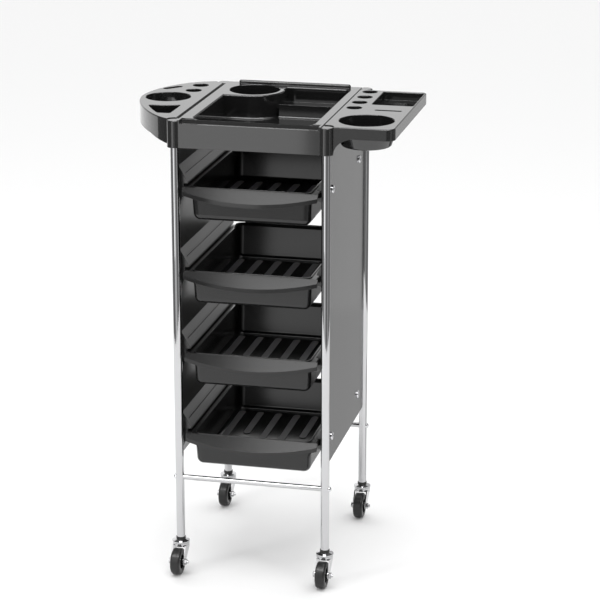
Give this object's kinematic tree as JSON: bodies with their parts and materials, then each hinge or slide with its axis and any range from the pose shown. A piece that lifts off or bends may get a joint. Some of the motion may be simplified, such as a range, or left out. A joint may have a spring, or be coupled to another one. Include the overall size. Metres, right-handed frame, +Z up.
{
  "type": "spa trolley cart",
  "caption": "Upright salon trolley on swivel castors: chrome tube frame, divided deck with D-shaped and rectangular tool wings, and four sliding tray drawers between side panels.",
  "frame": {"origin": "on the floor under the middle of the whole outline, wings and castors at their rest positions included", "axes": "+Z up, +X towards the rectangular wing, -Y the side that the drawers open towards"},
  "size_m": [0.5196, 0.4154, 0.883],
  "materials": {
    "deck_plastic": "glossy black moulding",
    "wing_plastic": "glossy black moulding",
    "drawer_plastic": "satin-gloss black moulding",
    "panel_plastic": "satin-gloss black sheet",
    "liner_plastic": "glossy black moulding",
    "chrome": "bright chrome plate",
    "zinc_steel": "bright zinc plate",
    "bearing_steel": "polished",
    "screw_steel": "bright plated",
    "plug_plastic": "matt black",
    "hub_plastic": "satin black",
    "tyre_rubber": "matt black rubber"
  },
  "bodies": {
    "root": {"crossbar_front": "chrome", "crossbar_rear": "chrome", "crossbar_screws": "screw_steel", "castor_balls": "bearing_steel", "top_tray": "deck_plastic", "wing_left": "wing_plastic", "wing_right": "wing_plastic", "wing_screws": "screw_steel", "panel_screws": "screw_steel", "leg_front_left": "chrome", "castor_plug_front_left": "plug_plastic", "castor_stem_front_left": "zinc_steel", "castor_race_front_left": "zinc_steel", "leg_front_right": "chrome", "castor_plug_front_right": "plug_plastic", "castor_stem_front_right": "zinc_steel", "castor_race_front_right": "zinc_steel", "leg_rear_left": "chrome", "castor_plug_rear_left": "plug_plastic", "castor_stem_rear_left": "zinc_steel", "castor_race_rear_left": "zinc_steel", "leg_rear_right": "chrome", "castor_plug_rear_right": "plug_plastic", "castor_stem_rear_right": "zinc_steel", "castor_race_rear_right": "zinc_steel", "side_cover_left": "panel_plastic", "rail_liner_left": "liner_plastic", "side_cover_right": "panel_plastic", "rail_liner_right": "liner_plastic"},
    "fork_front_left": {"castor_fork_front_left": "zinc_steel", "castor_bolt_front_left": "zinc_steel", "castor_nut_front_left": "zinc_steel"},
    "wheel_front_left": {"castor_hub_front_left": "hub_plastic", "castor_tyre_front_left": "tyre_rubber"},
    "fork_front_right": {"castor_fork_front_right": "zinc_steel", "castor_bolt_front_right": "zinc_steel", "castor_nut_front_right": "zinc_steel"},
    "wheel_front_right": {"castor_hub_front_right": "hub_plastic", "castor_tyre_front_right": "tyre_rubber"},
    "fork_rear_left": {"castor_fork_rear_left": "zinc_steel", "castor_bolt_rear_left": "zinc_steel", "castor_nut_rear_left": "zinc_steel"},
    "wheel_rear_left": {"castor_hub_rear_left": "hub_plastic", "castor_tyre_rear_left": "tyre_rubber"},
    "fork_rear_right": {"castor_fork_rear_right": "zinc_steel", "castor_bolt_rear_right": "zinc_steel", "castor_nut_rear_right": "zinc_steel"},
    "wheel_rear_right": {"castor_hub_rear_right": "hub_plastic", "castor_tyre_rear_right": "tyre_rubber"},
    "drawer_1": {"drawer_1": "drawer_plastic"},
    "drawer_2": {"drawer_2": "drawer_plastic"},
    "drawer_3": {"drawer_3": "drawer_plastic"},
    "drawer_4": {"drawer_4": "drawer_plastic"}
  },
  "joints": [
    {"name": "swivel_front_left", "type": "hinge", "parent": "root", "child": "fork_front_left", "pos_m": [-0.1425, -0.15875, 0.05], "axis": [0, 0, 1], "continuous": true},
    {"name": "roll_front_left", "type": "hinge", "parent": "fork_front_left", "child": "wheel_front_left", "pos_m": [-0.1425, -0.18275, 0.025], "axis": [1, 0, 0], "continuous": true},
    {"name": "swivel_front_right", "type": "hinge", "parent": "root", "child": "fork_front_right", "pos_m": [0.1375, -0.15875, 0.05], "axis": [0, 0, 1], "continuous": true},
    {"name": "roll_front_right", "type": "hinge", "parent": "fork_front_right", "child": "wheel_front_right", "pos_m": [0.1375, -0.18275, 0.025], "axis": [1, 0, 0], "continuous": true},
    {"name": "swivel_rear_left", "type": "hinge", "parent": "root", "child": "fork_rear_left", "pos_m": [-0.1425, 0.19125, 0.05], "axis": [0, 0, 1], "continuous": true},
    {"name": "roll_rear_left", "type": "hinge", "parent": "fork_rear_left", "child": "wheel_rear_left", "pos_m": [-0.1425, 0.16725, 0.025], "axis": [1, 0, 0], "continuous": true},
    {"name": "swivel_rear_right", "type": "hinge", "parent": "root", "child": "fork_rear_right", "pos_m": [0.1375, 0.19125, 0.05], "axis": [0, 0, 1], "continuous": true},
    {"name": "roll_rear_right", "type": "hinge", "parent": "fork_rear_right", "child": "wheel_rear_right", "pos_m": [0.1375, 0.16725, 0.025], "axis": [1, 0, 0], "continuous": true},
    {"name": "drawer_1_slide", "type": "slide", "parent": "root", "child": "drawer_1", "axis": [0, -1, 0], "range_m": [0, 0.25]},
    {"name": "drawer_2_slide", "type": "slide", "parent": "root", "child": "drawer_2", "axis": [0, -1, 0], "range_m": [0, 0.25]},
    {"name": "drawer_3_slide", "type": "slide", "parent": "root", "child": "drawer_3", "axis": [0, -1, 0], "range_m": [0, 0.25]},
    {"name": "drawer_4_slide", "type": "slide", "parent": "root", "child": "drawer_4", "axis": [0, -1, 0], "range_m": [0, 0.25]}
  ]
}
